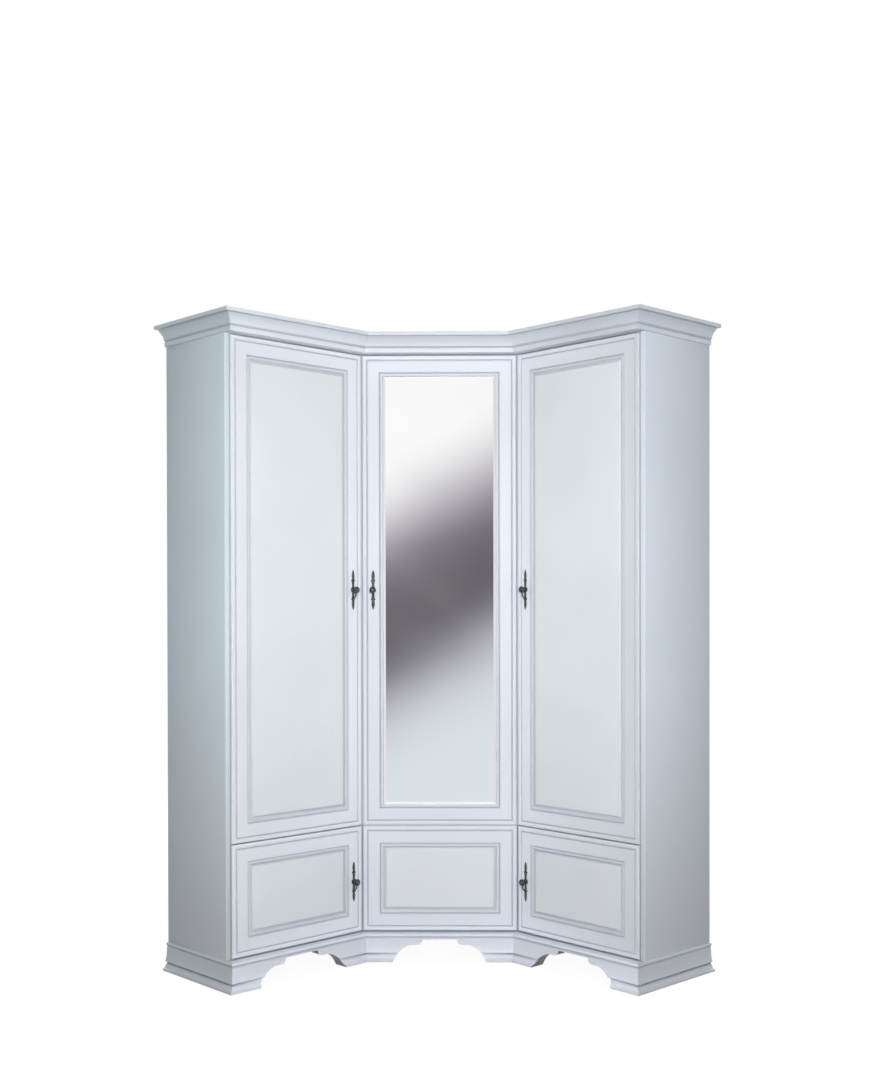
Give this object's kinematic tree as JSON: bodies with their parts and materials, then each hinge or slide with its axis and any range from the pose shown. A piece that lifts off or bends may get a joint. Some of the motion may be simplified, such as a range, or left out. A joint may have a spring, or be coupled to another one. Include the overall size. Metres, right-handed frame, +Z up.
{
  "type": "corner wardrobe",
  "caption": "Tall white corner wardrobe with a mirrored middle door between two angled wings, moulded cornice, arched plinth, hinged panelled doors, shelves and hanging rails.",
  "frame": {"origin": "middle of the bounding box on the floor", "axes": "+Z up, -Y out of the middle door into the room, +X to the right-hand wing as seen from the room"},
  "size_m": [1.9248, 1.2719, 2.2],
  "materials": {
    "painted_wood": "satin white lacquer with a thin silver-grey patina rubbed into the grooves",
    "carcass_board": "plain white satin board",
    "silver_glass": "silvered mirror with a bevelled edge",
    "fibre_board": "raw hardboard",
    "aged_pewter": "cast metal with a dark antique-silver finish",
    "hinge_steel": "nickel-plated pressed steel",
    "chrome_rail": "polished tube"
  },
  "bodies": {
    "carcass": {"side_panel_left": "painted_wood", "cornice_wing_left": "painted_wood", "cornice_side_left": "painted_wood", "plinth_wing_left": "painted_wood", "plinth_side_left": "painted_wood", "partition_left": "carcass_board", "wing_bottom_left": "carcass_board", "wing_top_left": "carcass_board", "back_panel_left": "carcass_board", "split_shelf_left": "carcass_board", "hinge_lower_left_1": "hinge_steel", "hinge_lower_left_2": "hinge_steel", "hinge_upper_left_1": "hinge_steel", "hinge_upper_left_2": "hinge_steel", "hinge_upper_left_3": "hinge_steel", "side_panel_right": "painted_wood", "cornice_wing_right": "painted_wood", "cornice_side_right": "painted_wood", "plinth_wing_right": "painted_wood", "plinth_side_right": "painted_wood", "partition_right": "carcass_board", "wing_bottom_right": "carcass_board", "wing_top_right": "carcass_board", "back_panel_right": "carcass_board", "split_shelf_right": "carcass_board", "hinge_lower_right_1": "hinge_steel", "hinge_lower_right_2": "hinge_steel", "hinge_upper_right_1": "hinge_steel", "hinge_upper_right_2": "hinge_steel", "hinge_upper_right_3": "hinge_steel", "shelf_left_1": "carcass_board", "shelf_left_2": "carcass_board", "rail_right": "chrome_rail", "centre_bottom": "carcass_board", "centre_top": "carcass_board", "hat_shelf": "carcass_board", "rail_centre": "chrome_rail", "corner_leg": "fibre_board", "cornice_centre": "painted_wood", "plinth_centre": "painted_wood", "hinge_centre_1": "hinge_steel", "hinge_centre_2": "hinge_steel", "hinge_centre_3": "hinge_steel"},
    "lower_left_door": {"door_frame_lower_left": "painted_wood", "door_panel_lower_left": "painted_wood", "handle_lower_left": "aged_pewter"},
    "upper_left_door": {"door_frame_upper_left": "painted_wood", "door_panel_upper_left": "painted_wood", "handle_upper_left": "aged_pewter"},
    "lower_right_door": {"door_frame_lower_right": "painted_wood", "door_panel_lower_right": "painted_wood", "handle_lower_right": "aged_pewter"},
    "upper_right_door": {"door_frame_upper_right": "painted_wood", "door_panel_upper_right": "painted_wood", "handle_upper_right": "aged_pewter"},
    "centre_door": {"door_frame_centre": "painted_wood", "door_panel_centre": "painted_wood", "mirror": "silver_glass", "mirror_backing": "fibre_board", "handle_centre": "aged_pewter"}
  },
  "joints": [
    {"name": "lower_left_swing", "type": "hinge", "parent": "carcass", "child": "lower_left_door", "pos_m": [-0.65902, -0.52785, 0.28425], "axis": [0, 0, -1], "range_deg": [0, 110]},
    {"name": "upper_left_swing", "type": "hinge", "parent": "carcass", "child": "upper_left_door", "pos_m": [-0.65902, -0.52785, 1.30225], "axis": [0, 0, -1], "range_deg": [0, 110]},
    {"name": "lower_right_swing", "type": "hinge", "parent": "carcass", "child": "lower_right_door", "pos_m": [0.65902, -0.52785, 0.28425], "axis": [0, 0, 1], "range_deg": [0, 110]},
    {"name": "upper_right_swing", "type": "hinge", "parent": "carcass", "child": "upper_right_door", "pos_m": [0.65902, -0.52785, 1.30225], "axis": [0, 0, 1], "range_deg": [0, 110]},
    {"name": "centre_swing", "type": "hinge", "parent": "carcass", "child": "centre_door", "pos_m": [0.2695, -0.14408, 1.1145], "axis": [0, 0, 1], "range_deg": [0, 90]}
  ]
}
